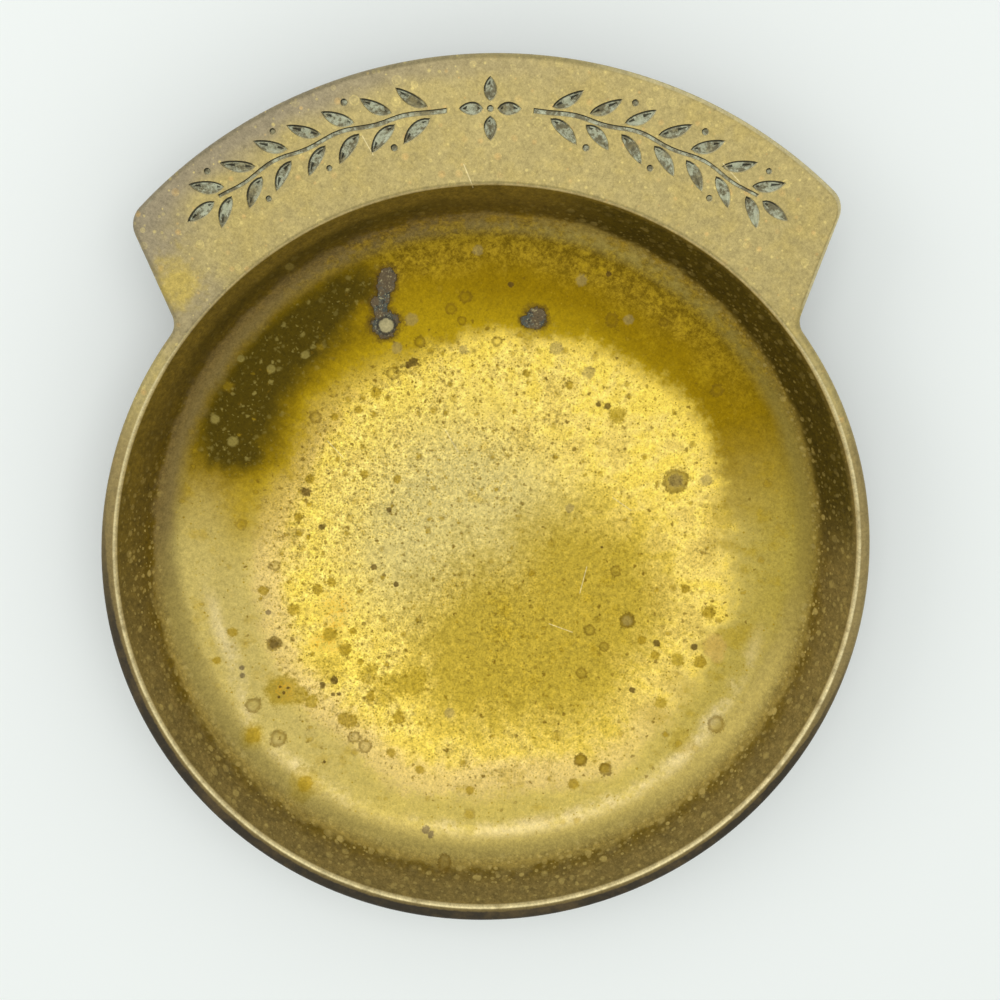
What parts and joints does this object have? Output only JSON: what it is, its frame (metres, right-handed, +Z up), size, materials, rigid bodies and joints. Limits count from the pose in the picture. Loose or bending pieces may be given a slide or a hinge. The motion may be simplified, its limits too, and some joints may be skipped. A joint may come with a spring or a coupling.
{
  "type": "coin tray",
  "caption": "Round cast brass dish for coins, with a sloping wall, a shallow floor, a curved plate standing out across its far side and a felt base.",
  "frame": {"origin": "middle of the underside of the felt, on the axis of the dish", "axes": "+Z up out of the dish, +Y from the dish to the curved plate, +X to the right when the plate is at the top"},
  "size_m": [0.14, 0.1595, 0.022],
  "materials": {
    "brass": "aged satin brass, tarnished and speckled",
    "felt": "dense dark green felt"
  },
  "bodies": {
    "root": {"tray_casting": "brass", "felt_pad": "felt"}
  },
  "joints": []
}
